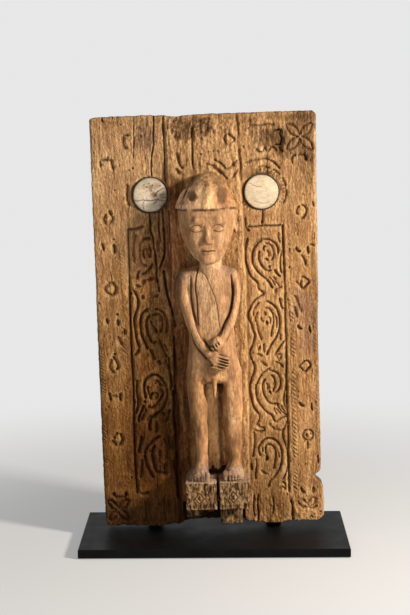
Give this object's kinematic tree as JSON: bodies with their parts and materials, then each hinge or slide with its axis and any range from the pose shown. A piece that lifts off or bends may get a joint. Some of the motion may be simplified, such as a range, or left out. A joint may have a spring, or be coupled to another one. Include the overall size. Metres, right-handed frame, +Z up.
{
  "type": "tomb door",
  "caption": "Carved timber tomb door: a tall plank with scroll fields, inlaid pale discs and a standing figure in high relief, held upright on a flat black display stand.",
  "frame": {"origin": "on the resting plane, at the middle of the stand's footprint", "axes": "+Z up along the door's height, -Y the way the carved face looks, +X to the right as seen from the front"},
  "size_m": [0.57, 0.29, 0.9256],
  "materials": {
    "panel_wood": "old weathered timber, dry and matt, with open grain, cracks and dark carved lines",
    "figure_wood": "old timber, smoother and slightly polished by handling",
    "pale_disc": "pale shell or bone, satin, stained and cracked",
    "dark_resin": "dark matt resin",
    "black_board": "black satin lacquer with worn edges",
    "pad_rubber": "matt",
    "black_steel": "satin black paint on flat steel bar",
    "screw_steel": "blackened steel"
  },
  "bodies": {
    "root": {"door_panel": "panel_wood", "standing_figure": "figure_wood", "left_foot_block": "panel_wood", "right_foot_block": "panel_wood", "left_disc": "pale_disc", "right_disc": "pale_disc", "left_disc_bed": "dark_resin", "right_disc_bed": "dark_resin", "stand_base": "black_board", "base_pads": "pad_rubber", "left_upright": "black_steel", "right_upright": "black_steel", "foot_screws": "screw_steel", "door_screws": "screw_steel"}
  },
  "joints": []
}
